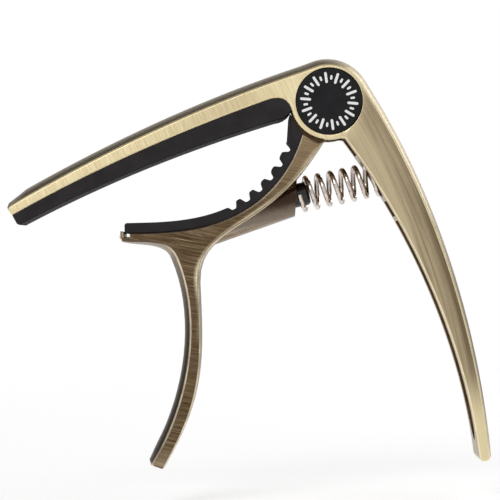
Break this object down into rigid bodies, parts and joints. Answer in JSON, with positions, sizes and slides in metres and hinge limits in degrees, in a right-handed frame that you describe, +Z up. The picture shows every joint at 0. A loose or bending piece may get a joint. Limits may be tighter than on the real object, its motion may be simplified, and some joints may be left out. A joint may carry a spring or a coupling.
{
  "type": "guitar capo",
  "caption": "Sprung trigger capo for a guitar neck: crowned string bar with a rubber pad, toothed neck jaw, round hub, ribbed rear handle and curved finger trigger.",
  "frame": {"origin": "on the surface that both finger levers stand on, at the middle of the bounding box", "axes": "+X runs from the string bar's tip to the rear handle, +Y runs from the front face to the rear face along the pivot, +Z is up"},
  "size_m": [0.0966, 0.014, 0.0817],
  "materials": {
    "bronze_casting": "brushed antique bronze plate, satin",
    "dark_bronze_casting": "brushed antique bronze plate, darker",
    "black_rubber": "matte moulded silicone",
    "nickel_wire": "bright nickel plate",
    "black_plastic": "semi-gloss",
    "zinc_plated_steel": "zinc plate",
    "bush_bronze": "sintered bronze",
    "white_nylon": "matte",
    "badge_black": "satin black print on a metal disc"
  },
  "bodies": {
    "frame_body": {"frame": "bronze_casting", "string_pad": "black_rubber", "main_spring": "nickel_wire", "pivot_sleeve": "zinc_plated_steel", "pivot_screw": "zinc_plated_steel", "front_washer": "white_nylon", "rear_washer": "white_nylon", "front_badge": "badge_black", "rear_badge": "badge_black"},
    "trigger_body": {"trigger_arm": "dark_bronze_casting", "neck_pad": "black_rubber", "spring_peg": "black_plastic", "pivot_bush": "bush_bronze"}
  },
  "joints": [
    {"name": "trigger_hinge", "type": "hinge", "parent": "frame_body", "child": "trigger_body", "pos_m": [0.01725, 0, 0.0728], "axis": [0, -1, 0], "range_deg": [0, 20], "stiffness_Nm_per_rad": 2.6, "springref_deg": -16.04, "deforming": ["main_spring"]}
  ]
}
